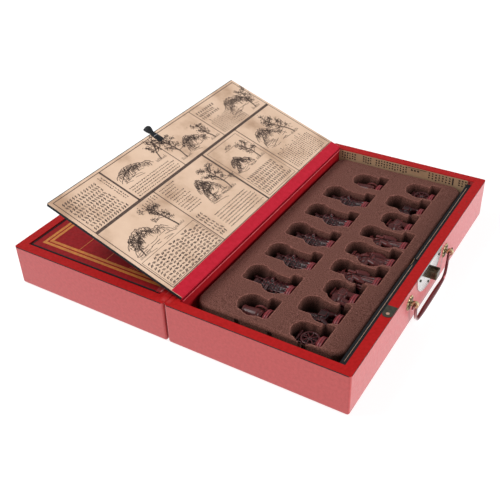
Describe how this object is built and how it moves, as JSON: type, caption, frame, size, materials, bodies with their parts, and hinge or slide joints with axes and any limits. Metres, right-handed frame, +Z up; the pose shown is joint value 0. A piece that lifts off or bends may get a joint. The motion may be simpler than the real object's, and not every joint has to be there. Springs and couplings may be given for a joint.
{
  "type": "xiangqi chess box",
  "caption": "Folding xiangqi box laid open flat: hinged leatherette halves with lids that form the board, foam trays of lying chessmen, a bail handle and a hasp.",
  "frame": {"origin": "centre of the right half's underside, the half with the handle", "axes": "+X from the spine to the handle, +Y along the spine to the rear, +Z up"},
  "size_m": [0.3097, 0.28, 0.0872],
  "materials": {
    "red_leatherette": "embossed leatherette, semi-matt",
    "bottom_leatherette": "leatherette, matt",
    "rim_red": "smooth deep red, satin",
    "printed_paper": null,
    "black_trim": "black paper-covered strip",
    "crimson_cloth": "crimson book cloth",
    "brown_flock": "brown flock",
    "ply": "thin ply, black-edged",
    "board_red": "dark red leatherette with gold lines",
    "black_ribbon": "black ribbon",
    "steel_wire": "bright wire",
    "nickel_plate": "bright nickel plate",
    "aged_brass": "darkened brass",
    "chrome_bail": "polished",
    "dark_plate": "dark bronze paint",
    "dark_resin": "dark red-brown cast resin"
  },
  "bodies": {
    "right_half": {"right_box_walls": "red_leatherette", "right_bottom_panel": "bottom_leatherette", "right_rim_band": "rim_red", "right_wall_lining": "printed_paper", "right_lid_ledge": "black_trim", "right_hinge_cloth": "crimson_cloth", "right_foam_tray": "brown_flock", "right_spine_leaf": "red_leatherette", "right_latch_plate": "nickel_plate", "right_latch_nails": "nickel_plate", "spine_roll": "red_leatherette", "latch_loop": "aged_brass", "handle_rosettes": "aged_brass", "handle_posts": "aged_brass", "strike_plate": "dark_plate", "strike_rivet": "nickel_plate", "rim_pins": "steel_wire", "right_soldiers": "dark_resin", "right_cannons": "dark_resin", "right_chariots": "dark_resin", "right_horses": "dark_resin", "right_elephants": "dark_resin", "right_advisors": "dark_resin", "right_general": "dark_resin"},
    "left_half": {"left_box_walls": "red_leatherette", "left_bottom_panel": "bottom_leatherette", "left_rim_band": "rim_red", "left_wall_lining": "printed_paper", "left_lid_ledge": "black_trim", "left_hinge_cloth": "crimson_cloth", "left_foam_tray": "brown_flock", "left_spine_leaf": "red_leatherette", "left_latch_plate": "nickel_plate", "left_latch_nails": "nickel_plate", "left_hinge_roll": "crimson_cloth", "hasp_pin": "aged_brass", "left_soldiers": "dark_resin", "left_cannons": "dark_resin", "left_chariots": "dark_resin", "left_horses": "dark_resin", "left_elephants": "dark_resin", "left_advisors": "dark_resin", "left_general": "dark_resin"},
    "lid_hinge_roll": {"right_hinge_roll": "crimson_cloth"},
    "right_lid": {"right_lid_board": "ply", "right_play_field": "board_red", "right_lid_paper": "printed_paper", "right_hinge_flap": "crimson_cloth", "right_pull_tab": "black_ribbon", "right_tab_staple": "steel_wire"},
    "left_lid": {"left_lid_board": "ply", "left_play_field": "board_red", "left_lid_paper": "printed_paper", "left_hinge_flap": "crimson_cloth", "left_pull_tab": "black_ribbon", "left_tab_staple": "steel_wire"},
    "hasp": {"hasp_strap": "aged_brass"},
    "bail": {"handle_bail": "chrome_bail"}
  },
  "joints": [
    {"name": "fold_hinge", "type": "hinge", "parent": "right_half", "child": "left_half", "pos_m": [-0.0748, 0, 0.03725], "axis": [0, -1, 0], "range_deg": [-180, 0]},
    {"name": "lid_roll_hinge", "type": "hinge", "parent": "right_half", "child": "lid_hinge_roll", "pos_m": [-0.0645, 0, 0.0364], "axis": [0, 1, 0], "range_deg": [0, 160], "deforming": ["right_pull_tab"]},
    {"name": "right_lid_hinge", "type": "hinge", "parent": "lid_hinge_roll", "child": "right_lid", "pos_m": [-0.0645, 0, 0.0364], "axis": [0, 1, 0], "range_deg": [-0.8, 160], "deforming": ["right_pull_tab"]},
    {"name": "left_lid_hinge", "type": "hinge", "parent": "left_half", "child": "left_lid", "pos_m": [-0.0851, 0, 0.0364], "axis": [0, 1, 0], "range_deg": [0, 18]},
    {"name": "hasp_hinge", "type": "hinge", "parent": "left_half", "child": "hasp", "pos_m": [-0.2262, 0, 0.032], "axis": [0, 1, 0], "range_deg": [0, 180]},
    {"name": "bail_hinge", "type": "hinge", "parent": "right_half", "child": "bail", "pos_m": [0.0784, 0, 0.0244], "axis": [0, -1, 0], "range_deg": [-4, 160]}
  ],
  "couplings": [
    {"joint": "lid_roll_hinge", "follows": "fold_hinge", "ratio": -0.88889}
  ]
}
